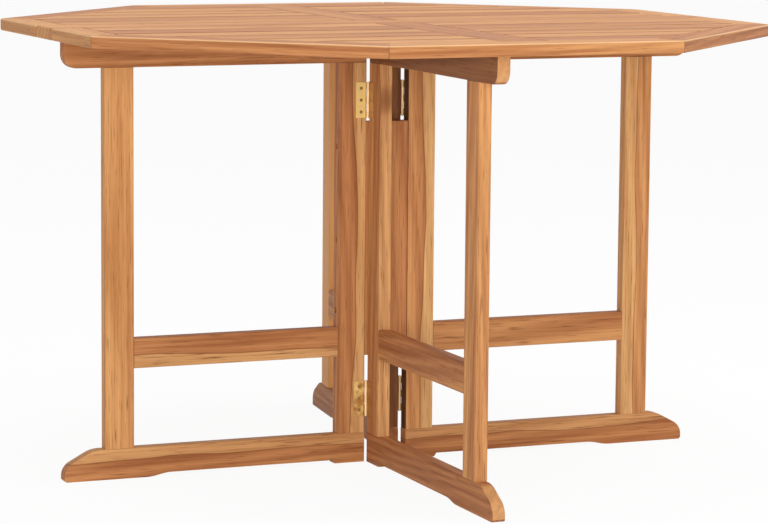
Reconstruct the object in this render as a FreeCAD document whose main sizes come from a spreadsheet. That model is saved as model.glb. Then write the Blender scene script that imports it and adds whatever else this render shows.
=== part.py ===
import FreeCAD, Part
import os
import re
import Sketcher

# Folding garden table, sizes in millimetres. X runs along the fixed frames from left to
# right, Y from the front leaf to the back leaf, Z up. The origin is on the floor under the
# middle of the top.

SIZES = (
    ("top_width", 1200, "eight-sided top across its flats"),
    ("table_height", 750, "floor to the face of the top"),
    ("top_thickness", 20, "boards of the top"),
    ("board_thickness", 22, "boards of the base"),
    ("post_width", 50, "posts of the base"),
    ("frame_inset", 38.5, "middle of the table to the inner end of a fixed frame"),
    ("rail_setback", 30, "edge of the top to the outer end of a fixed top rail"),
    ("toe_past_rail", 2, "toe of a foot past the end of its top rail"),
    ("toe_reach", 71, "toe of a foot past its outer post"),
    ("foot_height", 51, "foot board"),
    ("mid_rail_level", 184, "floor to the underside of a mid rail"),
    ("mid_rail_height", 50, "mid rail"),
    ("top_rail_height", 48, "top rail"),
    ("rail_corner_radius", 22, "lower outer corner of a top rail"),
    ("toe_flat", 20, "level top of a foot past its outer post"),
    ("toe_height", 24, "toe under its slope"),
    ("toe_radius", 26, "nose of the toe"),
    ("toe_bend_radius", 50, "bend from the level top of a foot into its slope"),
    ("toe_corner", 4, "lower corner of the toe"),
    ("relief_height", 6, "hollow under a foot"),
    ("heel_length", 54, "pad under the inner post"),
    ("heel_slope", 4, "slope from the heel pad into the hollow"),
    ("toe_pad_inset", 30, "toe pad inside the outer post"),
    ("toe_slope", 27, "slope from the hollow down to the toe pad"),
    ("hollow_radius", 80, "bends at both ends of that slope"),
    ("tenon_length", 24, "tenons of the posts and mid rails"),
    ("tenon_thickness", 8, "tenons of the posts and mid rails"),
    ("tenon_shoulder", 9, "shoulder at each edge of a tenon"),
    ("joint_clearance", 0.1, "play of a tenon, tongue, plate or screw in its hole"),
    ("arris_radius", 2, "eased edges of the base"),
    ("top_arris_radius", 2.5, "eased edges of the top"),
    ("gate_clearance", 0.3, "top rail of a gate under its leaf"),
    ("front_gate_fold", 1, "degrees the front gate is short of square"),
    ("back_gate_fold", 8, "degrees the back gate is short of square"),
    ("panel_gap", 7, "centre panel under the upper hinges"),
    ("hinge_height", 60, "gate hinge"),
    ("upper_hinge_drop", 63, "top rail to the middle of an upper gate hinge"),
    ("lower_hinge_level", 110, "floor to the middle of a lower gate hinge"),
    ("hinge_reach", 1.4, "inner end of a fixed frame to the hinge axis"),
    ("hinge_setback", 2.6, "face of a board to the hinge axis"),
    ("gate_overhang", 1.6, "inner end of a gate past the hinge axis"),
    ("plate_width", 21, "hinge axis to the edge of a gate hinge plate"),
    ("plate_thickness", 1.6, "gate hinge plate"),
    ("knuckle_radius", 2.3, "gate hinge knuckle"),
    ("pin_radius", 1.2, "gate hinge pin"),
    ("pin_head_radius", 2, "gate hinge pin"),
    ("pin_head_height", 1, "gate and leaf hinge pins"),
    ("pin_clearance", 0.05, "hinge pin in its knuckles"),
    ("knuckle_gap", 0.3, "play between knuckles, and of plates round knuckles"),
    ("hinge_screw_offset", 12, "hinge axis to the screws of a gate hinge"),
    ("hinge_screw_pitch", 20, "screws along a hinge"),
    ("hinge_screw_length", 12, "hinge screw in the wood"),
    ("hinge_screw_radius", 1.4, "shank of a hinge screw"),
    ("hinge_head_radius", 2.7, "countersunk head of a hinge screw"),
    ("strip_width", 80, "fixed centre strip of the top"),
    ("leaf_gap", 5, "centre strip to a leaf"),
    ("border_width", 50, "boards round the edge of a leaf"),
    ("stile_width", 78, "middle board of a leaf"),
    ("slat_gap", 7, "between rows of slats"),
    ("tongue_length", 12, "tongues on the ends of the slats"),
    ("tongue_thickness", 7, "tongues on the ends of the slats"),
    ("tongue_shoulder", 10, "shoulder at each edge of a tongue"),
    ("leaf_hinge_place", 350, "middle of the table to the middle of a leaf hinge"),
    ("leaf_hinge_length", 60, "leaf hinge"),
    ("leaf_hinge_rise", 2, "underside of the top to the leaf hinge axis"),
    ("leaf_plate_width", 18, "leaf hinge axis to the edge of its plate"),
    ("leaf_plate_thickness", 1.5, "leaf hinge plate"),
    ("leaf_knuckle_radius", 1.8, "leaf hinge knuckle"),
    ("leaf_pin_radius", 0.9, "leaf hinge pin"),
    ("leaf_pin_head_radius", 1.5, "leaf hinge pin"),
    ("leaf_screw_offset", 11.5, "leaf hinge axis to its screws"),
    ("long_screw_radius", 2.2, "shank of the panel and strip screws"),
    ("long_head_radius", 4.2, "head of the panel and strip screws"),
    ("long_head_height", 3.5, "head of the panel and strip screws"),
    ("recess_width", 0.8, "arms of the cross recess in a screw head"),
    ("recess_depth", 1, "cross recess in a screw head"),
    ("counterbore_radius", 5, "holes over the heads of the long screws"),
    ("panel_counterbore", 12, "depth of the holes over the panel screws"),
    ("panel_screw_length", 70, "panel screw under its head"),
    ("panel_screw_low", 78, "foot of the panel to its lowest screw"),
    ("panel_screw_high", 41, "top of the panel to its highest screw"),
    ("strip_counterbore", 22, "depth of the holes over the strip screws"),
    ("strip_screw_length", 40, "strip screw under its head"),
    ("strip_screw_inset", 60, "posts to the strip screws between them"),
)
SLAT_ROWS = 6
KNUCKLES = 5
SCREWS_PER_PLATE = 3
TOUCH = 0.0001  # edges nearer than this lie in the same plane

doc = FreeCAD.newDocument("folding_garden_table")
sheet = doc.addObject("Spreadsheet::Sheet", "Sizes")
for row, (alias, value, note) in enumerate(SIZES, 1):
    sheet.set("A%d" % row, note)
    sheet.set("B%d" % row, str(value))
    sheet.setAlias("B%d" % row, alias)
doc.recompute()
NAMES = {alias for alias, value, note in SIZES}

# Directions in which a round piece can run.
UP = FreeCAD.Rotation()
ALONG_X = FreeCAD.Rotation(FreeCAD.Vector(0, 1, 0), 90)
ALONG_Y = FreeCAD.Rotation(FreeCAD.Vector(1, 0, 0), -90)
BACK_X = FreeCAD.Rotation(FreeCAD.Vector(0, 1, 0), -90)
BACK_Y = FreeCAD.Rotation(FreeCAD.Vector(1, 0, 0), 90)

# Levels and lines that several pieces share, as formulas of the sizes above.
UNDERSIDE = "(table_height - top_thickness)"
TOP_MIDDLE = "(table_height - top_thickness / 2)"
POST_TOP = "(%s - top_rail_height)" % UNDERSIDE
HALF_TOP = "(top_width / 2)"
RAIL_LENGTH = "(%s - frame_inset - rail_setback)" % HALF_TOP
FOOT_LENGTH = "(%s + toe_past_rail)" % RAIL_LENGTH
OUTER_POST = "(%s - toe_reach - post_width)" % FOOT_LENGTH
TOE_BEND = "(%s + post_width + toe_flat)" % OUTER_POST
TOE_PAD = "(%s - toe_pad_inset)" % OUTER_POST
HOLLOW_END = "(%s - toe_slope)" % TOE_PAD
UPPER_HINGE = "(%s - upper_hinge_drop)" % POST_TOP
PANEL_TOP = "(%s - hinge_height / 2 - panel_gap)" % UPPER_HINGE
HALF_BOARD = "(board_thickness / 2)"
FIELD = "(top_width / 2 - border_width)"
LEAF_START = "(strip_width / 2 + leaf_gap)"
LEAF_AXIS = "(strip_width / 2 + leaf_gap / 2)"
LEAF_AXIS_LEVEL = "(%s + leaf_hinge_rise)" % UNDERSIDE
GATE_AXIS_X = "(frame_inset - hinge_reach)"
GATE_AXIS_Y = "(board_thickness / 2 + hinge_setback)"
CORNER = "tan(22.5)"

nodes = []


def bound(formula):
    """Puts the sheet's name before every size in a formula."""
    return re.sub(r"[a-z_]+", lambda m: "Sizes." + m.group() if m.group() in NAMES else m.group(), formula)


def number(formula):
    return float(sheet.evalExpression(bound(formula)))


def origin_part(body, role):
    return next(f for f in body.Origin.OriginFeatures if f.Role == role)


def piece(label, place=("0", "0", "0"), angle="0"):
    """Starts one named piece, standing at a place and turned about the upright."""
    body = doc.addObject("PartDesign::Body", label)
    body.Label = label
    body.AllowCompound = True
    body.Placement = FreeCAD.Placement(FreeCAD.Vector(), FreeCAD.Rotation(FreeCAD.Vector(0, 0, 1), 45))
    for axis, formula in zip("xyz", place):
        body.setExpression("Placement.Base.%s" % axis, bound(formula))
    body.setExpression("Placement.Rotation.Angle", "(%s) * 1 deg" % bound(angle))
    nodes.append(body)
    return body


def outline(body, plane, corners, level="0"):
    """A closed sketch with straight sides, each corner held by two formulas."""
    sketch = body.newObject("Sketcher::SketchObject", "outline")
    sketch.AttachmentSupport = (origin_part(body, plane), [""])
    sketch.MapMode = "FlatFace"
    sketch.setExpression("AttachmentOffset.Base.z", bound(level))
    points = [FreeCAD.Vector(number(x), number(y), 0) for x, y in corners]
    count = len(points)
    for i in range(count):
        sketch.addGeometry(Part.LineSegment(points[i], points[(i + 1) % count]), False)
    for i in range(count):
        sketch.addConstraint(Sketcher.Constraint("Coincident", i, 2, (i + 1) % count, 1))
    for i, corner in enumerate(corners):
        for kind, formula in zip(("DistanceX", "DistanceY"), corner):
            index = sketch.addConstraint(Sketcher.Constraint(kind, -1, 1, i, 1, number(formula)))
            sketch.setExpression("Constraints[%d]" % index, bound(formula))
    return sketch


def extrude(body, kind, sketch, length):
    """Pads or pockets a sketch by the same amount on both of its sides."""
    feature = body.newObject("PartDesign::%s" % kind, kind.lower())
    feature.Profile = sketch
    feature.Midplane = True
    feature.setExpression("Length", bound(length))
    body.Tip = feature
    doc.recompute()
    return feature


def solid(body, kind, place, turn=UP, **formulas):
    """Adds or takes away a box, cylinder or cone."""
    feature = body.newObject("PartDesign::%s" % kind, kind.lower())
    feature.Placement = FreeCAD.Placement(FreeCAD.Vector(), turn)
    for axis, formula in zip("xyz", place):
        feature.setExpression("Placement.Base.%s" % axis, bound(formula))
    for name, formula in formulas.items():
        feature.setExpression(name, bound(formula))
    body.Tip = feature
    return feature


def block(body, kind, lows, highs):
    """Adds or takes away a box between two corners."""
    length, width, height = ("(%s) - (%s)" % pair for pair in zip(highs, lows))
    return solid(body, kind, lows, Length=length, Width=width, Height=height)


def span(sign, low, high):
    """Two distances to one side of a line, the lower one first."""
    return (low, high) if sign > 0 else ("-(%s)" % high, "-(%s)" % low)


def ease(body, radius, choose):
    """Rounds the edges of the piece so far that the test picks."""
    doc.recompute()
    base = body.Tip
    names = ["Edge%d" % i for i, edge in enumerate(base.Shape.Edges, 1) if choose(edge.BoundBox)]
    feature = body.newObject("PartDesign::Fillet", "eased")
    feature.Base = (base, names)
    feature.setExpression("Radius", bound(radius))
    body.Tip = feature
    doc.recompute()


def on_faces(low, high, distance):
    """Picks edges that lie in the two faces at plus and minus a distance."""
    def test(box):
        flat = abs(getattr(box, high) - getattr(box, low)) < TOUCH
        return flat and abs(abs(getattr(box, low)) - distance) < TOUCH
    return test


def in_top_or_bottom(box):
    flat = box.ZMax - box.ZMin < TOUCH
    levels = (number("table_height"), number(UNDERSIDE))
    return flat and min(abs(box.ZMin - level) for level in levels) < TOUCH


def repeat(body, kind, role):
    """Repeats the whole piece on the other side of a plane or half a turn round an axis."""
    doc.recompute()
    feature = body.newObject("PartDesign::%s" % kind, kind.lower())
    feature.TransformMode = "Whole shape"
    if kind == "Mirrored":
        feature.MirrorPlane = (origin_part(body, role), [""])
    else:
        feature.Axis = (origin_part(body, role), [""])
        feature.Angle = 360
        feature.Occurrences = 2
    body.Tip = feature


# Frames of the base, each drawn flat with X from its inner end outwards. A fixed frame
# stands on the middle line; a gate stands on its hinge axis, short of square by its fold.
def gate_place(sign, angle):
    x = "%s1 * %s - (gate_overhang * cos(%s) + %s * sin(%s))"
    y = "%s1 * %s - (gate_overhang * sin(%s) - %s * cos(%s))"
    return (x % (sign, GATE_AXIS_X, angle, GATE_AXIS_Y, angle),
            y % (sign, GATE_AXIS_Y, angle, GATE_AXIS_Y, angle), "0")


FRONT_ANGLE = "(-90 - front_gate_fold)"
BACK_ANGLE = "(90 - back_gate_fold)"
FRAMES = (
    ("left_frame", ("-frame_inset", "0", "0"), "180", False),
    ("right_frame", ("frame_inset", "0", "0"), "0", False),
    ("front_gate", gate_place("-", FRONT_ANGLE), FRONT_ANGLE, True),
    ("back_gate", gate_place("+", BACK_ANGLE), BACK_ANGLE, True),
)
HINGE_LEVELS = ("lower_hinge_level", UPPER_HINGE)
PANEL_SCREW_LEVELS = ("mid_rail_level + panel_screw_low", "(mid_rail_level + %s) / 2" % PANEL_TOP,
                      "%s - panel_screw_high" % PANEL_TOP)
STRIP_SCREW_PLACES = ("post_width + strip_screw_inset", "%s - strip_screw_inset" % OUTER_POST)
POSTS = ("0", OUTER_POST)


def screw_steps(pitch):
    """Places of the screws along a hinge, from its middle."""
    half = (SCREWS_PER_PLATE - 1) / 2
    return ["(%s) * %s" % (i - half, pitch) for i in range(SCREWS_PER_PLATE)]


def tenon_hole(body, lows, highs):
    """A mortise, wider than its tenon by the clearance all round."""
    block(body, "SubtractiveBox",
          ["%s - joint_clearance" % low for low in lows],
          ["%s + joint_clearance" % high for high in highs])


def post_tenon(start, low, high):
    """Lower and upper corners of a tenon at the end of a post."""
    return (("%s + tenon_shoulder" % start, "-tenon_thickness / 2", low),
            ("%s + post_width - tenon_shoulder" % start, "tenon_thickness / 2", high))


def rail_tenon(low, high):
    """Lower and upper corners of a tenon at the end of a mid rail."""
    return ((low, "-tenon_thickness / 2", "mid_rail_level + tenon_shoulder"),
            (high, "tenon_thickness / 2", "mid_rail_level + mid_rail_height - tenon_shoulder"))


board_faces = on_faces("YMin", "YMax", number(HALF_BOARD))


def at_corners(*corners):
    """Picks the edges across a board at corners of its outline."""
    def test(box):
        return any(max(abs(box.XMin - number(x)), abs(box.XMax - number(x)),
                       abs(box.ZMin - number(z)), abs(box.ZMax - number(z))) < TOUCH
                   for x, z in corners)
    return test


def upper_foot_edges(box):
    above_toe_corner = box.ZMin > number("toe_corner") - TOUCH
    above_hollow = box.ZMax > number("relief_height") + TOUCH
    return board_faces(box) and above_toe_corner and above_hollow


for frame, place, angle, is_gate in FRAMES:
    # Foot: flat on a heel and a toe pad, hollow between, sloped to a rounded toe.
    foot = piece(frame + "_foot", place, angle)
    sketch = outline(foot, "XZ_Plane", (
        ("0", "0"), ("heel_length", "0"), ("heel_length + heel_slope", "relief_height"),
        (HOLLOW_END, "relief_height"), (TOE_PAD, "0"),
        (FOOT_LENGTH + " - toe_corner", "0"), (FOOT_LENGTH, "toe_corner"), (FOOT_LENGTH, "toe_height"),
        (TOE_BEND, "foot_height"), ("0", "foot_height")))
    extrude(foot, "Pad", sketch, "board_thickness")
    ease(foot, "toe_radius", at_corners((FOOT_LENGTH, "toe_height")))
    ease(foot, "toe_bend_radius", at_corners((TOE_BEND, "foot_height")))
    ease(foot, "hollow_radius", at_corners((HOLLOW_END, "relief_height"), (TOE_PAD, "0")))
    ease(foot, "arris_radius", upper_foot_edges)
    for start in POSTS:
        tenon_hole(foot, *post_tenon(start, "foot_height - tenon_length", "foot_height"))

    # Top rail: over both posts, its lower outer corner rounded. A gate's is lower.
    drop = "gate_clearance" if is_gate else "0"
    rail = piece(frame + "_top_rail", place, angle)
    sketch = outline(rail, "XZ_Plane", (
        ("0", POST_TOP), (RAIL_LENGTH, POST_TOP),
        (RAIL_LENGTH, "%s - %s" % (UNDERSIDE, drop)), ("0", "%s - %s" % (UNDERSIDE, drop))))
    extrude(rail, "Pad", sketch, "board_thickness")
    ease(rail, "rail_corner_radius", at_corners((RAIL_LENGTH, POST_TOP)))
    ease(rail, "arris_radius", board_faces)
    for start in POSTS:
        tenon_hole(rail, *post_tenon(start, POST_TOP, "%s + tenon_length" % POST_TOP))
    if not is_gate:
        for along in STRIP_SCREW_PLACES:
            solid(rail, "SubtractiveCylinder", (along, "0", POST_TOP),
                  Radius="long_screw_radius + joint_clearance", Height="top_rail_height")
            solid(rail, "SubtractiveCylinder", (along, "0", POST_TOP),
                  Radius="counterbore_radius", Height="strip_counterbore")

    # Posts: between foot and top rail, with a tenon into each.
    for name, start in zip(("_inner_post", "_outer_post"), POSTS):
        post = piece(frame + name, place, angle)
        block(post, "AdditiveBox", (start, "-" + HALF_BOARD, "foot_height"),
              ("%s + post_width" % start, HALF_BOARD, POST_TOP))
        ease(post, "arris_radius", lambda box: box.ZMax - box.ZMin > number("post_width"))
        block(post, "AdditiveBox", *post_tenon(start, "foot_height - tenon_length", "foot_height"))
        block(post, "AdditiveBox", *post_tenon(start, POST_TOP, "%s + tenon_length" % POST_TOP))
        if start == "0":
            tenon_hole(post, *rail_tenon("post_width - tenon_length", "post_width"))
            side = ("-" + HALF_BOARD, ALONG_Y) if is_gate else (HALF_BOARD, BACK_Y)
            along = "gate_overhang + hinge_screw_offset" if is_gate else "hinge_screw_offset - hinge_reach"
            for level in HINGE_LEVELS:
                for step in screw_steps("hinge_screw_pitch"):
                    solid(post, "SubtractiveCylinder", (along, side[0], "%s + %s" % (level, step)), side[1],
                          Radius="hinge_screw_radius + joint_clearance",
                          Height="hinge_screw_length + joint_clearance")
            if not is_gate:
                for level in PANEL_SCREW_LEVELS:
                    solid(post, "SubtractiveCylinder", ("0", "0", level), ALONG_X,
                          Radius="long_screw_radius + joint_clearance", Height="post_width")
                    solid(post, "SubtractiveCylinder", ("post_width", "0", level), BACK_X,
                          Radius="counterbore_radius", Height="panel_counterbore")
        else:
            tenon_hole(post, *rail_tenon(OUTER_POST, OUTER_POST + " + tenon_length"))

    # Mid rail: between the posts, with a tenon into each.
    mid = piece(frame + "_mid_rail", place, angle)
    block(mid, "AdditiveBox", ("post_width", "-" + HALF_BOARD, "mid_rail_level"),
          (OUTER_POST, HALF_BOARD, "mid_rail_level + mid_rail_height"))
    ease(mid, "arris_radius", lambda box: box.XMax - box.XMin > number("post_width"))
    block(mid, "AdditiveBox", *rail_tenon("post_width - tenon_length", "post_width"))
    block(mid, "AdditiveBox", *rail_tenon(OUTER_POST, OUTER_POST + " + tenon_length"))

# Centre panel: stands between the inner posts of the fixed frames and joins them.
panel = piece("centre_panel")
block(panel, "AdditiveBox", ("-frame_inset", "-" + HALF_BOARD, "mid_rail_level"),
      ("frame_inset", HALF_BOARD, PANEL_TOP))
ease(panel, "arris_radius", lambda box: box.ZMax - box.ZMin > number("post_width"))
PANEL_SCREW_REACH = "(panel_screw_length - (post_width - panel_counterbore))"
for level in PANEL_SCREW_LEVELS:
    for side, turn in (("-frame_inset", ALONG_X), ("frame_inset", BACK_X)):
        solid(panel, "SubtractiveCylinder", (side, "0", level), turn,
              Radius="long_screw_radius + joint_clearance", Height=PANEL_SCREW_REACH + " + joint_clearance")


def cross_recess(body, place, turn, reach):
    """The cross for the driver in the face of a screw head, as long as the head's radius."""
    along = turn.multVec(FreeCAD.Vector(1, 0, 0))
    across = turn.multVec(FreeCAD.Vector(0, 1, 0))
    for length, width in ((reach, "recess_width"), ("recess_width", reach)):
        corner = ["%s - (%d) * %s / 2 - (%d) * %s / 2" % (middle, round(a), length, round(b), width)
                  for middle, a, b in zip(place, along, across)]
        solid(body, "SubtractiveBox", corner, turn, Length=length, Width=width, Height="recess_depth")


def long_screw(body, place, turn, head_place, length):
    """A screw with a round head, its head behind the given place."""
    solid(body, "AdditiveCylinder", place, turn, Radius="long_screw_radius", Height=length)
    solid(body, "AdditiveCylinder", head_place, turn, Radius="long_head_radius", Height="long_head_height")
    cross_recess(body, head_place, turn, "long_head_radius")


# Panel screws: through the inner posts into the panel, three from each side.
screws = piece("panel_screws")
seat = "-(frame_inset + post_width - panel_counterbore)"
for level in PANEL_SCREW_LEVELS:
    head = (seat + " - long_head_height", "0", level)
    long_screw(screws, (seat, "0", level), ALONG_X, head, "panel_screw_length")
repeat(screws, "PolarPattern", "Z_Axis")

# Strip screws: up through the fixed top rails into the centre strip.
screws = piece("strip_screws")
seat = "%s + strip_counterbore" % POST_TOP
for along in STRIP_SCREW_PLACES:
    place = "frame_inset + %s" % along
    head = (place, "0", seat + " - long_head_height")
    long_screw(screws, (place, "0", seat), UP, head, "strip_screw_length")
repeat(screws, "PolarPattern", "Z_Axis")


def knuckle_spans(length, owner):
    """Start and length of the knuckles that one plate has along a hinge, from its middle."""
    spans = []
    for i in range(owner, KNUCKLES, 2):
        low = "knuckle_gap / 2" if i > 0 else "0"
        high = "knuckle_gap / 2" if i < KNUCKLES - 1 else "0"
        start = "(%d / %d - 0.5) * %s + %s" % (i, KNUCKLES, length, low)
        spans.append((start, "%s / %d - %s - %s" % (length, KNUCKLES, low, high)))
    return spans


# Gate hinges: brass butt hinges, one plate on the face of the fixed post, the other on
# the face of the gate, five knuckles round one pin.
def gate_plate(body, axis_x, axis_y, sign, owner):
    """The plates of the lower and upper hinge, to one side of the hinge axis."""
    near = "knuckle_radius + knuckle_gap"
    back = "%s + hinge_setback" % axis_y
    face = "%s + hinge_setback - plate_thickness" % axis_y
    flat = ["%s + %s" % (axis_x, edge) for edge in span(sign, near, "plate_width")]
    neck = ["%s + %s" % (axis_x, edge) for edge in span(sign, "0", near)]
    screw_x = "%s + %d * hinge_screw_offset" % (axis_x, sign)
    for level in HINGE_LEVELS:
        low = "%s - hinge_height / 2" % level
        high = "%s + hinge_height / 2" % level
        block(body, "AdditiveBox", (flat[0], face, low), (flat[1], back, high))
        for start, length in knuckle_spans("hinge_height", owner):
            base = "%s + %s" % (level, start)
            solid(body, "AdditiveCylinder", (axis_x, axis_y, base), Radius="knuckle_radius", Height=length)
            block(body, "AdditiveBox", (neck[0], face, base),
                  (neck[1], "%s + knuckle_radius" % axis_y, "%s + %s" % (base, length)))
        solid(body, "SubtractiveCylinder", (axis_x, axis_y, low),
              Radius="pin_radius + pin_clearance", Height="hinge_height")
        for step in screw_steps("hinge_screw_pitch"):
            solid(body, "SubtractiveCone", (screw_x, face, "%s + %s" % (level, step)), ALONG_Y,
                  Radius1="hinge_head_radius + joint_clearance",
                  Radius2="hinge_screw_radius + joint_clearance", Height="plate_thickness")


def hinge_screw(body, place, turn, thickness_place, thickness):
    """A countersunk screw: head in the plate, shank in the wood behind it."""
    solid(body, "AdditiveCone", place, turn, Radius1="hinge_head_radius",
          Radius2="hinge_screw_radius", Height=thickness)
    solid(body, "AdditiveCylinder", thickness_place, turn, Radius="hinge_screw_radius",
          Height="hinge_screw_length")
    cross_recess(body, place, turn, "hinge_head_radius")


def gate_hinge_screws(body, along, face):
    """The screws of the lower and upper plate, driven along Y from the plate's face."""
    for level in HINGE_LEVELS:
        for step in screw_steps("hinge_screw_pitch"):
            height = "%s + %s" % (level, step)
            hinge_screw(body, (along, "%s - plate_thickness" % face, height), ALONG_Y,
                        (along, face, height), "plate_thickness")


axis_x = "-" + GATE_AXIS_X
axis_y = "-" + GATE_AXIS_Y
plates = piece("gate_hinge_post_plates")
gate_plate(plates, axis_x, axis_y, -1, 0)
repeat(plates, "PolarPattern", "Z_Axis")

screws = piece("gate_hinge_post_screws")
gate_hinge_screws(screws, "%s - hinge_screw_offset" % axis_x, "-" + HALF_BOARD)
repeat(screws, "PolarPattern", "Z_Axis")

pins = piece("gate_hinge_pins")
for level in HINGE_LEVELS:
    low = "%s - hinge_height / 2" % level
    solid(pins, "AdditiveCylinder", (axis_x, axis_y, low), Radius="pin_radius", Height="hinge_height")
    for start in ("%s - pin_head_height" % low, "%s + hinge_height / 2" % level):
        solid(pins, "AdditiveCylinder", (axis_x, axis_y, start), Radius="pin_head_radius",
              Height="pin_head_height")
repeat(pins, "PolarPattern", "Z_Axis")

for frame, place, angle, is_gate in FRAMES:
    if is_gate:
        plates = piece(frame + "_hinge_plates", place, angle)
        gate_plate(plates, "gate_overhang", axis_y, 1, 1)
        screws = piece(frame + "_hinge_screws", place, angle)
        gate_hinge_screws(screws, "gate_overhang + hinge_screw_offset", "-" + HALF_BOARD)


# Top: a fixed strip and two leaves. A leaf is drawn as the front one and the back one is
# the same, half a turn round.
LEAVES = (("front_leaf", "0"), ("back_leaf", "180"))
LEAF_HINGE = ("leaf_hinge_place - leaf_hinge_length / 2", "leaf_hinge_place + leaf_hinge_length / 2")
LEAF_PLATE_BACK = "(%s + leaf_plate_thickness)" % UNDERSIDE
TONGUE = ("(%s - tongue_thickness / 2)" % TOP_MIDDLE, "(%s + tongue_thickness / 2)" % TOP_MIDDLE)
GROOVE_HEIGHT = "tongue_thickness + 2 * joint_clearance"
GROOVE = "(%s + tongue_length + joint_clearance)" % FIELD
GROOVE_MOUTH = "(%s - tongue_length)" % FIELD
TONGUE_START = "(%s + tongue_shoulder)" % LEAF_START
PITCH = "((%s - %s + slat_gap) / %d)" % (FIELD, LEAF_START, SLAT_ROWS)


def leaf_housing(body, side, end, low, high, screw_line):
    """Shallow housing in the underside for one leaf hinge plate, with holes for its screws."""
    x_low, x_high = span(end, "%s - joint_clearance" % LEAF_HINGE[0], "%s + joint_clearance" % LEAF_HINGE[1])
    y_low, y_high = span(side, low, high)
    block(body, "SubtractiveBox", (x_low, y_low, UNDERSIDE), (x_high, y_high, LEAF_PLATE_BACK))
    for step in screw_steps("hinge_screw_pitch"):
        place = ("%d * (leaf_hinge_place + %s)" % (end, step), "%d * (%s)" % (side, screw_line),
                 LEAF_PLATE_BACK)
        solid(body, "SubtractiveCylinder", place, Radius="hinge_screw_radius + joint_clearance",
              Height="hinge_screw_length + joint_clearance")


# Centre strip: one board across the table, screwed down on the fixed top rails.
strip = piece("centre_strip")
block(strip, "AdditiveBox", ("-" + HALF_TOP, "-strip_width / 2", UNDERSIDE),
      (HALF_TOP, "strip_width / 2", "table_height"))
ease(strip, "top_arris_radius", in_top_or_bottom)
for end in (-1, 1):
    for side in (-1, 1):
        leaf_housing(strip, side, end, "%s - leaf_plate_width - joint_clearance" % LEAF_AXIS,
                     "strip_width / 2", "%s - leaf_screw_offset" % LEAF_AXIS)
    for along in STRIP_SCREW_PLACES:
        solid(strip, "SubtractiveCylinder", ("%d * (frame_inset + %s)" % (end, along), "0", UNDERSIDE),
              Radius="long_screw_radius + joint_clearance",
              Height="strip_screw_length - (top_rail_height - strip_counterbore) + joint_clearance")


def side_corner(reach):
    """Corner of an eight-sided line where its left side meets the corner board."""
    return ("-%s" % reach, "-%s * %s" % (reach, CORNER))


def front_corner(reach, sign="-"):
    """Corner of an eight-sided line at one end of its front side."""
    return ("%s1 * %s * %s" % (sign, reach, CORNER), "-%s" % reach)


def top_board(label, angle, corners):
    """A board of the top with its edges eased."""
    board = piece(label, angle=angle)
    extrude(board, "Pad", outline(board, "XY_Plane", corners, TOP_MIDDLE), "top_thickness")
    ease(board, "top_arris_radius", in_top_or_bottom)
    return board


def slat_corners(reach, near, far, inner_end):
    """Corners of a left-hand slat between two lines, its outer end on an eight-sided line."""
    turn = "%s * %s" % (reach, CORNER)
    slope = "-(%s + %s - (%%s))" % (reach, turn)
    ends = []
    for across in (near, far):
        if number(across) <= number(turn):
            ends.append(("-%s" % reach, "-(%s)" % across))
        else:
            ends.append((slope % across, "-(%s)" % across))
    if number(near) < number(turn) < number(far):
        ends.insert(1, side_corner(reach))
    return [("-(%s)" % inner_end, "-(%s)" % near)] + ends + [("-(%s)" % inner_end, "-(%s)" % far)]


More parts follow.
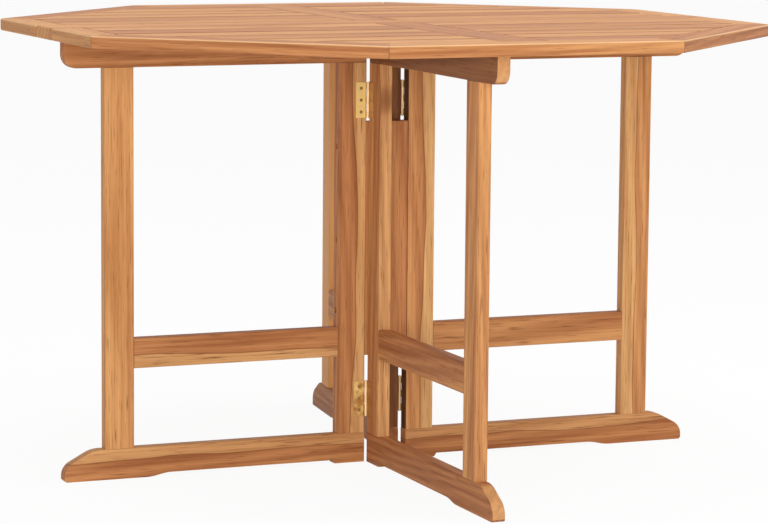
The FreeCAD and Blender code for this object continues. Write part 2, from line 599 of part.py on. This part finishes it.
for leaf, angle in LEAVES:
    # Outer board, mitred into the corner boards, with a mortise for the stile.
    board = top_board(leaf + "_outer_board", angle, (
        front_corner(HALF_TOP), front_corner(HALF_TOP, "+"), front_corner(FIELD, "+"), front_corner(FIELD)))
    stile_tenon = (("-stile_width / 2 + tongue_shoulder", "-%s - tongue_length" % FIELD, TONGUE[0]),
                   ("stile_width / 2 - tongue_shoulder", "-%s" % FIELD, TONGUE[1]))
    tenon_hole(board, *stile_tenon)

    # Corner boards, grooved for the slats, left and right.
    board = top_board(leaf + "_corner_boards", angle, (
        side_corner(HALF_TOP), front_corner(HALF_TOP), front_corner(FIELD), side_corner(FIELD)))
    groove = outline(board, "XY_Plane", (
        side_corner(GROOVE), front_corner(GROOVE), front_corner(GROOVE_MOUTH),
        side_corner(GROOVE_MOUTH)), TOP_MIDDLE)
    extrude(board, "Pocket", groove, GROOVE_HEIGHT)
    repeat(board, "Mirrored", "YZ_Plane")

    # Side boards from the corner boards to the hinged edge, grooved for the slats.
    board = top_board(leaf + "_side_boards", angle, (
        side_corner(HALF_TOP), side_corner(FIELD), ("-" + FIELD, "-" + LEAF_START),
        ("-" + HALF_TOP, "-" + LEAF_START)))
    tenon_hole(board, ("-%s - tongue_length" % FIELD, side_corner(HALF_TOP)[1], TONGUE[0]),
               ("-" + FIELD, "-" + TONGUE_START, TONGUE[1]))
    repeat(board, "Mirrored", "YZ_Plane")

    # Stile: middle board of the leaf, grooved along both edges, with a tenon at its end.
    stile = top_board(leaf + "_stile", angle, (
        ("-stile_width / 2", "-" + FIELD), ("stile_width / 2", "-" + FIELD),
        ("stile_width / 2", "-" + LEAF_START), ("-stile_width / 2", "-" + LEAF_START)))
    block(stile, "AdditiveBox", *stile_tenon)
    for sign in (-1, 1):
        low, high = span(sign, "stile_width / 2 - tongue_length", "stile_width / 2")
        tenon_hole(stile, (low, "-%s + tongue_shoulder" % FIELD, TONGUE[0]),
                   (high, "-" + TONGUE_START, TONGUE[1]))

    # Slats, tongued into the border and the stile, left and right in each row.
    for i in range(SLAT_ROWS):
        near = "%s + %d * %s" % (LEAF_START, i, PITCH)
        far = "%s + %s - slat_gap" % (near, PITCH)
        slat = top_board("%s_slats_%d" % (leaf, i + 1), angle,
                         slat_corners(FIELD, near, far, "stile_width / 2"))
        tongue = slat_corners("(%s + tongue_length)" % FIELD, near + " + tongue_shoulder",
                              far + " - tongue_shoulder", "stile_width / 2 - tongue_length")
        extrude(slat, "Pad", outline(slat, "XY_Plane", tongue, TOP_MIDDLE), "tongue_thickness")
        if i == 0:
            leaf_housing(slat, -1, -1, LEAF_START, "%s + leaf_plate_width + joint_clearance" % LEAF_AXIS,
                         "%s + leaf_screw_offset" % LEAF_AXIS)
        repeat(slat, "Mirrored", "YZ_Plane")


# Leaf hinges: brass butt hinges let in flush under the strip and the first row of slats,
# their knuckles in the gap between.
def leaf_plate(body, sign, owner):
    """The plate of the right-hand hinge, to one side of the hinge axis."""
    axis = "-" + LEAF_AXIS
    near = "leaf_knuckle_radius + knuckle_gap"
    flat = ["%s + %s" % (axis, edge) for edge in span(sign, near, "leaf_plate_width")]
    neck = ["%s + %s" % (axis, edge) for edge in span(sign, "0", near)]
    block(body, "AdditiveBox", (LEAF_HINGE[0], flat[0], UNDERSIDE), (LEAF_HINGE[1], flat[1], LEAF_PLATE_BACK))
    for start, length in knuckle_spans("leaf_hinge_length", owner):
        base = "leaf_hinge_place + %s" % start
        solid(body, "AdditiveCylinder", (base, axis, LEAF_AXIS_LEVEL), ALONG_X,
              Radius="leaf_knuckle_radius", Height=length)
        block(body, "AdditiveBox", (base, neck[0], UNDERSIDE),
              ("%s + %s" % (base, length), neck[1], LEAF_PLATE_BACK))
    solid(body, "SubtractiveCylinder", (LEAF_HINGE[0], axis, LEAF_AXIS_LEVEL), ALONG_X,
          Radius="leaf_pin_radius + pin_clearance", Height="leaf_hinge_length")
    for step in screw_steps("hinge_screw_pitch"):
        place = ("leaf_hinge_place + %s" % step, "%s + %d * leaf_screw_offset" % (axis, sign), UNDERSIDE)
        solid(body, "SubtractiveCone", place, Radius1="hinge_head_radius + joint_clearance",
              Radius2="hinge_screw_radius + joint_clearance", Height="leaf_plate_thickness")


def leaf_hinge_screws(body, sign):
    """The screws of the right-hand plate, driven up from the underside."""
    for step in screw_steps("hinge_screw_pitch"):
        along = "leaf_hinge_place + %s" % step
        across = "-%s + %d * leaf_screw_offset" % (LEAF_AXIS, sign)
        hinge_screw(body, (along, across, UNDERSIDE), UP, (along, across, LEAF_PLATE_BACK),
                    "leaf_plate_thickness")


plates = piece("leaf_hinge_strip_plates")
leaf_plate(plates, 1, 0)
screws = piece("leaf_hinge_strip_screws")
leaf_hinge_screws(screws, 1)
pins = piece("leaf_hinge_pins")
solid(pins, "AdditiveCylinder", (LEAF_HINGE[0], "-" + LEAF_AXIS, LEAF_AXIS_LEVEL), ALONG_X,
      Radius="leaf_pin_radius", Height="leaf_hinge_length")
for start in (LEAF_HINGE[0] + " - pin_head_height", LEAF_HINGE[1]):
    solid(pins, "AdditiveCylinder", (start, "-" + LEAF_AXIS, LEAF_AXIS_LEVEL), ALONG_X,
          Radius="leaf_pin_head_radius", Height="pin_head_height")
for group in (plates, screws, pins):
    repeat(group, "PolarPattern", "Z_Axis")
    repeat(group, "Mirrored", "YZ_Plane")
for leaf, angle in LEAVES:
    plates = piece(leaf + "_hinge_plates", angle=angle)
    leaf_plate(plates, -1, 1)
    screws = piece(leaf + "_hinge_screws", angle=angle)
    leaf_hinge_screws(screws, -1)
    for group in (plates, screws):
        repeat(group, "Mirrored", "YZ_Plane")

# Every piece is checked, then written to its own file.
doc.recompute()
for item in doc.Objects:
    if "Invalid" in item.State or "Error" in item.State:
        raise RuntimeError("%s did not build: %s" % (item.Label, item.getStatusString()))
os.makedirs("parts", exist_ok=True)
for body in nodes:
    shape = body.Shape
    if shape.isNull() or not shape.isValid() or not shape.Solids:
        raise RuntimeError("%s has no sound shape" % body.Label)
    shape.exportStep("parts/%s.step" % body.Label)
print("%d pieces written" % len(nodes))
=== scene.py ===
import bpy
import math
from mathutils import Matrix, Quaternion, Vector

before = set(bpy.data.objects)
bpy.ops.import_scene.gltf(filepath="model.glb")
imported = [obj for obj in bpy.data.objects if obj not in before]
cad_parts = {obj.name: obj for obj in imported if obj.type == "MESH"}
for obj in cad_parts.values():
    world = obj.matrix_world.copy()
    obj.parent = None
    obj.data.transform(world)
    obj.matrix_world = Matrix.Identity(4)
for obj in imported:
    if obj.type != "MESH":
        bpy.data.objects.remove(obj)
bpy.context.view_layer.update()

# Fixed frames, left and right: boards of oiled plantation hardwood with mortise and tenon
# joints, the posts upright and the foot and rails lying. Red-brown heartwood and honey
# wood in long streaks, and on some boards an edge of pale sapwood.
ALONG_X = (0, 0, 0)
UPRIGHT = (0, math.radians(90), 0)


class Tree:
    """The nodes of a finish or of the room, with short ways to add and join them."""

    def __init__(self, tree):
        self.nodes = tree.nodes
        self.link = tree.links.new

    def plug(self, socket, value):
        """Joins a node to a socket, or sets the socket to a plain value."""
        if isinstance(value, bpy.types.NodeSocket):
            self.link(value, socket)
        else:
            socket.default_value = value

    def add(self, kind, **inputs):
        node = self.nodes.new("ShaderNode" + kind)
        for key, value in inputs.items():
            self.plug(node.inputs[key], value)
        return node

    def maths(self, operation, first, second=0.0, third=0.0):
        """Arithmetic on numbers. MULTIPLY_ADD makes shares, which stay between 0 and 1."""
        node = self.nodes.new("ShaderNodeMath")
        node.operation = operation
        node.use_clamp = operation == "MULTIPLY_ADD"
        for socket, value in zip(node.inputs, (first, second, third)):
            self.plug(socket, value)
        return node.outputs[0]

    def ramp(self, value, start, slope):
        """A share that rises from 0 at the start, or falls to 0 there if the slope is down."""
        return self.maths("MULTIPLY_ADD", value, slope, -slope * start)

    def fade(self, distance, strength, slope):
        """A share that has its strength at a line and falls with the distance from it."""
        return self.maths("MULTIPLY_ADD", distance, -slope, strength)

    def vector(self, operation, first, second, output="Vector"):
        node = self.nodes.new("ShaderNodeVectorMath")
        node.operation = operation
        self.plug(node.inputs[0], first)
        self.plug(node.inputs[1], second)
        return node.outputs[output]

    def dot(self, first, second):
        return self.vector("DOT_PRODUCT", first, second, "Value")

    def tint(self, share, low, high):
        """A colour between two others."""
        node = self.nodes.new("ShaderNodeMix")
        node.data_type = "RGBA"
        self.plug(node.inputs[0], share)
        self.plug(node.inputs[6], low)
        self.plug(node.inputs[7], high)
        return node.outputs[2]


def new_finish(name):
    """A new material with its nodes and its shader."""
    finish = bpy.data.materials.new(name)
    finish.use_nodes = True
    tree = Tree(finish.node_tree)
    return finish, tree, tree.nodes["Principled BSDF"]


def finish_with(node, finish):
    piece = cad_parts[node]
    piece.data.materials.clear()
    piece.data.materials.append(finish)


def hardwood(name, turn, start, honey, sapwood=None, paired=False, mitred=False, slat=False,
             painted_light_and_shade=()):
    """Oiled board. turn lays the grain along it, start is its place in the log and honey is
    its share of light wood. sapwood is the direction of a pale edge, where that starts and
    how pale it is. A paired board gets another piece of the log on its right, a mitred one
    the dark glue lines at the corners of the top and a painted highlight on its upper edge,
    and a slat painted shade on its sides. The last argument lists sides with painted light
    or painted shade: the direction that they face, how squarely at least, how strong the
    tone is and its colour."""
    finish, tree, shader = new_finish(name)
    add, maths, tint = tree.add, tree.maths, tree.tint
    ramp, fade = tree.ramp, tree.fade

    def streaks(along, across, detail, rough=0.5):
        """Streaks in the wood, so many to the metre along the grain and across it."""
        drawn = add("Mapping", Vector=board, Scale=(along, across, across)).outputs[0]
        noise = add("TexNoise", Vector=drawn, Scale=1.0, Detail=detail, Roughness=rough)
        return noise.outputs["Fac"]

    coordinates = add("TexCoord")
    place = coordinates.outputs["Object"]
    x, y, z = add("SeparateXYZ", Vector=place).outputs
    folded = place
    if paired:
        further_along, further_across = 0.71, 0.37
        on_right = maths("GREATER_THAN", x)
        folded = add("CombineXYZ", X=maths("ABSOLUTE", x), Y=y, Z=z).outputs[0]
        other_piece = add("CombineXYZ", X=maths("MULTIPLY", on_right, further_along),
                          Y=maths("MULTIPLY", on_right, further_across)).outputs[0]
        place = tree.vector("ADD", folded, other_piece)
    board = add("Mapping", Vector=place, Location=start, Rotation=turn).outputs[0]

    # Growth rings round a heart that runs nearly along the board, drawn out along the grain.
    heart = add("Mapping", Vector=board, Location=(0, 0.055, -0.06),
                Rotation=(0, math.radians(2.1), math.radians(1.3))).outputs[0]
    long_heart = add("Mapping", Vector=heart, Scale=(0.06, 1, 1)).outputs[0]
    rings = add("TexWave", Vector=long_heart, Scale=24.0, Distortion=6.0, Detail=3.0)
    rings.wave_type = "RINGS"
    rings.rings_direction = "X"
    rings.inputs["Detail Scale"].default_value = 1.1
    fibre = streaks(along=2.2, across=150, detail=6, rough=0.72)
    pores = streaks(along=20, across=520, detail=3)
    cloud = streaks(along=0.9, across=13, detail=3)

    # Light and dark lines in red-brown heartwood, which clouds over into honey wood.
    dark_heart, light_heart = (0.30, 0.102, 0.036, 1), (0.54, 0.236, 0.090, 1)
    dark_honey, light_honey = (0.47, 0.196, 0.066, 1), (0.69, 0.350, 0.134, 1)
    ring_share, fibre_share, dark_share = 0.5, 2.7, 1.07
    lines = maths("ADD", maths("MULTIPLY", rings.outputs["Fac"], ring_share),
                  maths("MULTIPLY", fibre, fibre_share))
    lines = ramp(lines, start=dark_share, slope=1.0)
    heartwood = tint(lines, dark_heart, light_heart)
    honeywood = tint(lines, dark_honey, light_honey)
    contrast = 4.5
    clouded = maths("MULTIPLY_ADD", cloud, contrast, honey - 0.5 * contrast)
    colour = tint(clouded, heartwood, honeywood)
    if sapwood:
        # The edge of the sapwood waves to both sides and has a dark seam.
        dark_sap, light_sap = (0.56, 0.285, 0.105, 1), (0.74, 0.440, 0.190, 1)
        seam_brown = (0.18, 0.065, 0.022, 1)
        wave = 0.05
        direction, begins, paleness = sapwood
        waved = maths("ADD", tree.dot(place, direction),
                      maths("MULTIPLY", streaks(along=2.2, across=2, detail=2), wave))
        depth = maths("SUBTRACT", waved, begins + 0.5 * wave)
        pale = tint(lines, dark_sap, light_sap)
        inside = ramp(depth, start=0.0, slope=600.0)
        colour = tint(maths("MULTIPLY", inside, paleness), colour, pale)
        seam = fade(maths("ABSOLUTE", depth), strength=0.8, slope=700.0)
        colour = tint(seam, colour, seam_brown)

    # Dark pores, and a few small knots.
    pore_brown, knot_brown = (0.19, 0.070, 0.023, 1), (0.12, 0.042, 0.015, 1)
    colour = tint(ramp(pores, start=0.57, slope=5.0), colour, pore_brown)
    knots = add("TexVoronoi", Vector=board, Scale=5.5)
    draw = add("SeparateXYZ", Vector=knots.outputs["Color"]).outputs[0]
    share_without = 0.86
    chosen = maths("GREATER_THAN", draw, share_without)
    knot = fade(knots.outputs["Distance"], strength=1.7, slope=26.0)
    colour = tint(maths("MULTIPLY", chosen, knot), colour, knot_brown)

    # Painted light or painted shade on the sides that face the given directions.
    for direction, squarely, strength, tone in painted_light_and_shade:
        facing = tree.dot(coordinates.outputs["Normal"], direction)
        painted_share = ramp(facing, start=squarely, slope=8.0)
        colour = tint(maths("MULTIPLY", painted_share, strength), colour, tone)
    if mitred:
        # The mitres of the eight-sided top run out from its middle. Heights are in metres.
        glue_brown, highlight_colour = (0.13, 0.050, 0.018, 1), (0.78, 0.50, 0.27, 1)
        highlight_from, highlight_to = 0.7472, 0.7499
        corner = tree.vector("ABSOLUTE", folded, (0, 0, 0))
        for square_to_mitre in ((0.9239, -0.3827, 0), (0.3827, -0.9239, 0)):
            away = maths("ABSOLUTE", tree.dot(corner, square_to_mitre))
            colour = tint(fade(away, strength=0.9, slope=900.0), colour, glue_brown)
        # A painted highlight along the rounded upper edge of the border, where it catches the
        # light.
        highlight_strength = 0.7
        edge_highlight = maths("MULTIPLY", ramp(z, start=highlight_from, slope=900.0),
                     ramp(z, start=highlight_to, slope=-3000.0))
        colour = tint(maths("MULTIPLY", edge_highlight, highlight_strength), colour, highlight_colour)
    if slat:
        # Painted shade on the sides of the slats, down in the gaps between them.
        gap_shade = (0.10, 0.040, 0.016, 1)
        side_from, side_to = 0.7304, 0.7498
        gap_shade_strength = 0.85
        side = maths("MULTIPLY", ramp(z, start=side_to, slope=-3000.0),
                     ramp(z, start=side_from, slope=1400.0))
        colour = tint(maths("MULTIPLY", side, gap_shade_strength), colour, gap_shade)

    smoothest, roughest = 0.38, 0.62
    rough = maths("MULTIPLY_ADD", fibre, roughest - smoothest, smoothest)
    relief = maths("ADD", maths("MULTIPLY", fibre, 0.6), maths("MULTIPLY", pores, 0.4))
    bump = add("Bump", Height=relief, Strength=0.2, Distance=0.0006)
    tree.plug(shader.inputs["Base Color"], colour)
    tree.plug(shader.inputs["Roughness"], rough)
    tree.plug(shader.inputs["Specular IOR Level"], 0.1)
    tree.plug(shader.inputs["Normal"], bump.outputs["Normal"])
    return finish


# The sides of the inner posts that face each other get painted shade, for the deep shade in the
# gap between them.
PAINTED_SHADE = (0.035, 0.015, 0.009, 1)
painted_shade_sides = {"left_frame_inner_post": [((1, 0, 0), 0.7, 0.85, PAINTED_SHADE)],
              "right_frame_inner_post": [((-1, 0, 0), 0.7, 0.85, PAINTED_SHADE)]}
for i, (name, turn, honey, sapwood) in enumerate((
        ("left_frame_foot", ALONG_X, 0.30, ((0, 0, 1), 0.030, 0.45)),
        ("left_frame_mid_rail", ALONG_X, -0.10, ((0, 0, -1), -0.202, 0.65)),
        ("left_frame_top_rail", ALONG_X, -0.30, None),
        ("left_frame_outer_post", UPRIGHT, 0.95, None),
        ("left_frame_inner_post", UPRIGHT, 0.42, ((1, 0, 0), -0.062, 0.85)),
        ("right_frame_foot", ALONG_X, -0.10, ((0, 0, 1), 0.036, 0.4)),
        ("right_frame_mid_rail", ALONG_X, 0.40, None),
        ("right_frame_top_rail", ALONG_X, 0.10, None),
        ("right_frame_outer_post", UPRIGHT, 0.85, ((-1, 0, 0), -0.474, 0.7)),
        ("right_frame_inner_post", UPRIGHT, 0.75, ((1, 0, 0), 0.069, 1.0)))):
    start = (0.9 * i, 0.31 * i, -0.13 * i)
    finish_with(name, hardwood(name, turn, start, honey, sapwood,
                               painted_light_and_shade=painted_shade_sides.get(name, ())))

# Gates, front and back: the same boards and joints as the fixed frames, each swung out on
# two brass hinges. The grain of their feet and rails runs along the gate as it stands, and
# the toe and rail end of the front gate have painted light, as they face the front lamp.
ALONG_FRONT_GATE = (0, 0, math.radians(91))
ALONG_BACK_GATE = (0, 0, math.radians(-82))
# Painted light on the toe of the front gate's foot and the end of its top rail, which face the
# front lamp.
PAINTED_LIGHT_END = (0.74, 0.42, 0.18, 1)
# Painted light on the front left side of the back gate's outer post, which the top and frames
# shade.
PAINTED_LIGHT_SIDE = (0.82, 0.42, 0.16, 1)
# Painted shade on the gate inner posts where they face the fixed posts, and on the left side of
# the front gate's top rail under the front leaf.
gate_light_and_shade = {"front_gate_inner_post": [((0, 1, 0), 0.7, 0.45, PAINTED_SHADE)],
               "back_gate_inner_post": [((0, -1, 0), 0.7, 0.45, PAINTED_SHADE)],
               "back_gate_outer_post": [((-0.7, -0.7, 0), 0.4, 0.7, PAINTED_LIGHT_SIDE)],
               "front_gate_top_rail": [((-1, 0, 0), 0.7, 0.45, PAINTED_SHADE),
                                       ((0, -1, 0), 0.5, 0.5, PAINTED_LIGHT_END)],
               "front_gate_foot": [((0, -0.9, 0.43), 0.6, 0.42, PAINTED_LIGHT_END)]}
for i, (name, turn, honey, sapwood) in enumerate((
        ("front_gate_foot", ALONG_FRONT_GATE, 0.0, None),
        ("front_gate_mid_rail", ALONG_FRONT_GATE, 0.05, None),
        ("front_gate_top_rail", ALONG_FRONT_GATE, -0.50, None),
        ("front_gate_outer_post", UPRIGHT, 0.50, None),
        ("front_gate_inner_post", UPRIGHT, 0.70, ((0, -1, 0), 0.054, 0.35)),
        ("back_gate_foot", ALONG_BACK_GATE, 0.0, None),
        ("back_gate_mid_rail", ALONG_BACK_GATE, 0.30, None),
        ("back_gate_top_rail", ALONG_BACK_GATE, 0.05, None),
        ("back_gate_outer_post", UPRIGHT, 1.00, None),
        ("back_gate_inner_post", UPRIGHT, 0.20, None))):
    start = (5.0 + 1.3 * i, 0.27 * i, -0.29 * i)
    finish_with(name, hardwood(name, turn, start, honey, sapwood,
                               painted_light_and_shade=gate_light_and_shade.get(name, ())))

# Centre panel: an upright board of the same hardwood between the two inner posts. It joins
# the fixed frames into one stand and is held by three long screws through each post.
finish_with("centre_panel", hardwood("centre_panel", UPRIGHT, start=(7.7, 0.63, 0.12), honey=0.05))


# Panel and strip screws: long wood screws of zinc plated steel with a cross in the head.
# They sit at the bottom of drilled holes, six through the posts into the centre panel and
# four up through the fixed top rails into the centre strip.
def metal(name, colour, rough, grain, lacquer=0.0, pin=None):
    """Metal with fine rubbing marks that change its polish a little, under some lacquer.
    Plates that turn on a pin, and on its twin half a turn round the table, have bright
    knuckles with painted shade in the grooves beside them, and grow darker towards the
    ground, with tarnished blotches and painted shade."""
    finish, tree, shader = new_finish(name)
    add, maths, tint = tree.add, tree.maths, tree.tint
    place = add("TexCoord").outputs["Object"]
    marks = add("TexNoise", Vector=place, Scale=grain, Detail=4.0).outputs["Fac"]
    rubbed = 0.88
    shade = tint(marks, [rubbed * c for c in colour] + [1], list(colour) + [1])
    if pin:
        tarnish_and_shade, bright = (0.42, 0.17, 0.035, 1), (0.93, 0.64, 0.33, 1)
        groove_shade = (0.07, 0.03, 0.01, 1)
        knuckle_radius, groove_radius = 0.0025, 0.0034
        x, y, z = add("SeparateXYZ", Vector=place).outputs
        blotches = 0.8
        # Darker towards the ground: tarnished blotches, and painted shade on the lower hinges.
        level = maths("ADD", z, maths("MULTIPLY", marks, blotches))
        shade = tint(tree.fade(level, strength=2.0, slope=3.0), shade, tarnish_and_shade)
        for side in (1, -1):
            across = maths("SUBTRACT", x, side * pin[0])
            along = maths("SUBTRACT", y, side * pin[1])
            away = maths("SQRT", maths("ADD", maths("MULTIPLY", across, across),
                                       maths("MULTIPLY", along, along)))
            # Painted shade in the grooves where the plates meet the knuckles.
            gap = maths("ABSOLUTE", maths("SUBTRACT", away, groove_radius))
            shade = tint(tree.fade(gap, strength=0.95, slope=900.0), shade, groove_shade)
            shade = tint(tree.ramp(away, start=knuckle_radius, slope=-8000.0), shade, bright)
    polish = maths("MULTIPLY_ADD", marks, 0.25, rough - 0.12)
    bump = add("Bump", Height=marks, Strength=0.08, Distance=0.0002)
    tree.plug(shader.inputs["Base Color"], shade)
    tree.plug(shader.inputs["Metallic"], 1.0 - lacquer)
    tree.plug(shader.inputs["Roughness"], polish)
    tree.plug(shader.inputs["Normal"], bump.outputs["Normal"])
    return finish


zinc = metal("zinc", (0.52, 0.52, 0.54), rough=0.4, grain=700)
finish_with("panel_screws", zinc)
finish_with("strip_screws", zinc)

# Gate hinges: two brass butt hinges to each gate, pressed from plate and rolled round the
# pin in five knuckles. Three countersunk brass screws hold each plate on its post. The lower
# hinges are darker, partly tarnished and partly painted shade, and the plates on the gates
# are a darker brass, painted shade and a painted reflection of the wood beside them.
GATE_PIN = (0.0371, 0.0136)
brass = metal("brass", (0.93, 0.66, 0.30), rough=0.26, grain=60)
plate_brass = metal("plate_brass", (1.0, 0.73, 0.26), rough=0.38, grain=110, lacquer=0.75,
                    pin=GATE_PIN)
# The plates on the gates: a darker brass that is painted shade and a painted reflection of the
# brown wood beside them.
shaded_brass = metal("shaded_brass", (0.50, 0.28, 0.12), rough=0.45, grain=60, lacquer=0.2,
                   pin=GATE_PIN)
dark_brass = metal("dark_brass", (0.42, 0.28, 0.11), rough=0.45, grain=300)
finish_with("gate_hinge_pins", brass)
finish_with("gate_hinge_post_plates", plate_brass)
finish_with("front_gate_hinge_plates", shaded_brass)
finish_with("back_gate_hinge_plates", shaded_brass)
for node in ("gate_hinge_post_screws", "front_gate_hinge_screws", "back_gate_hinge_screws"):
    finish_with(node, dark_brass)

# Centre strip: one solid planed board of hardwood across the middle of the table. It is
# screwed down on the two fixed top rails and carries the leaves on its long edges.
finish_with("centre_strip", hardwood("centre_strip", ALONG_X, start=(0.4, 0.83, 0.05), honey=0.6))

# Leaves, front and back: mitred border boards, a stile down the middle and six rows of
# slats tongued into them, left and right, with gaps for rain. All are planed hardwood, with a
# painted highlight along the upper edges of the border and painted shade in the gaps.
ALONG_Y = (0, 0, math.radians(90))
for i, (leaf, corner) in enumerate((("front_leaf", -45), ("back_leaf", 45))):
    along_corner = (0, 0, math.radians(corner))
    for j, (name, turn, honey, paired) in enumerate((
            ("_outer_board", ALONG_X, 1.0, False),
            ("_stile", ALONG_Y, 0.20, False),
            ("_corner_boards", along_corner, 0.05, True),
            ("_side_boards", ALONG_Y, 1.2, True))):
        start = (1.7 * j + 4.3 * i, 0.47 * j + 0.29 * i, 0.11 * j - 0.21 * i)
        is_stile = name == "_stile"
        finish_with(leaf + name, hardwood(leaf + name, turn, start, honey, paired=paired,
                                          mitred=not is_stile, slat=is_stile))
    for row, honey in enumerate((0.7, 0.15, 0.95, 0.3, 0.75, 0.4)):
        start = (2.1 * row + 6.1 * i, 0.39 * row + 0.57 * i, 0.16 * row - 0.33 * i)
        name = "%s_slats_%d" % (leaf, row + 1)
        finish_with(name, hardwood(name, ALONG_X, start, honey, paired=True, slat=True))

# Leaf hinges: small brass butt hinges, two to each leaf, let in flush under the centre strip
# and the first row of slats. Each plate is held by three countersunk brass screws.
for node in ("leaf_hinge_strip_plates", "leaf_hinge_pins", "front_leaf_hinge_plates",
             "back_leaf_hinge_plates"):
    finish_with(node, brass)
for node in ("leaf_hinge_strip_screws", "front_leaf_hinge_screws", "back_leaf_hinge_screws"):
    finish_with(node, dark_brass)


# Floor: a plain pale sheet of paper that the table stands on, wide enough to show no edge.
# It is matt, nearly white, and keeps a soft shadow under the feet.
def seen_directly(tree):
    """1 where the camera or a reflection looks, 0 for the light that falls on things."""
    rays = tree.add("LightPath").outputs
    return tree.maths("MAXIMUM", rays["Is Camera Ray"], rays["Is Glossy Ray"])


bpy.ops.object.select_all(action="DESELECT")
bpy.ops.mesh.primitive_plane_add(size=80, location=(0, 0, 0))
floor = bpy.context.object
floor.name = "floor"
share_without_shadow = 0.93
paper, tree, matt = new_finish("paper")
tree.plug(matt.inputs["Base Color"], (0.92, 0.92, 0.92, 1))
tree.plug(matt.inputs["Roughness"], 1.0)
blend = tree.add("MixShader")
tree.plug(blend.inputs[0], tree.maths("MULTIPLY", seen_directly(tree), share_without_shadow))
tree.plug(blend.inputs[1], matt.outputs[0])
tree.plug(blend.inputs[2], tree.add("Emission").outputs[0])
tree.plug(tree.nodes["Material Output"].inputs["Surface"], blend.outputs[0])
floor.data.materials.append(paper)

# Light: a bright even room and three large soft lamps, one low in front on the left, one
# from the right and one over the top. The room looks white and lights the table less.
ROOM_WHITE, ROOM_LIGHT = 1.0, 0.43
world = bpy.data.worlds.new("room")
bpy.context.scene.world = world
world.use_nodes = True
tree = Tree(world.node_tree)
sky = tree.nodes["Background"]
tree.plug(sky.inputs["Color"], (1, 1, 1, 1))
tree.plug(sky.inputs["Strength"],
          tree.maths("MULTIPLY_ADD", seen_directly(tree), ROOM_WHITE - ROOM_LIGHT, ROOM_LIGHT))


def lamp(name, place, aim, size, power):
    """A square lamp that points at its aim."""
    bpy.ops.object.light_add(type="AREA", location=place)
    light = bpy.context.object
    light.name = name
    light.data.shape = "SQUARE"
    light.data.size = size
    light.data.energy = power
    light.rotation_euler = (Vector(aim) - Vector(place)).to_track_quat("-Z", "Y").to_euler()


lamp("front_lamp", (-2.0, -4.3, 1.0), aim=(0, 0, 0.45), size=2.6, power=134)
lamp("right_lamp", (4.2, -1.8, 2.0), aim=(0, 0, 0.45), size=2.5, power=64)
lamp("top_lamp", (0.2, -0.4, 4.0), aim=(0, 0, 0.7), size=3.0, power=85)

# Camera: a long lens at the photograph's place, some five metres off to the front left and
# a little higher than the top, tipped down at the middle of the table.
bpy.ops.object.camera_add(location=(-2.1372, -5.0450, 1.0581))
camera = bpy.context.object
aim = Vector((0.38680, 0.91297, -0.12985))
roll = Quaternion((0, 0, 1), math.radians(0.468))
camera.rotation_mode = "QUATERNION"
camera.rotation_quaternion = aim.to_track_quat("-Z", "Y") @ roll
camera.data.sensor_width = 36.0
camera.data.lens = 152.097
camera.data.clip_end = 200.0
bpy.context.scene.camera = camera
bpy.context.scene.view_settings.view_transform = "Standard"
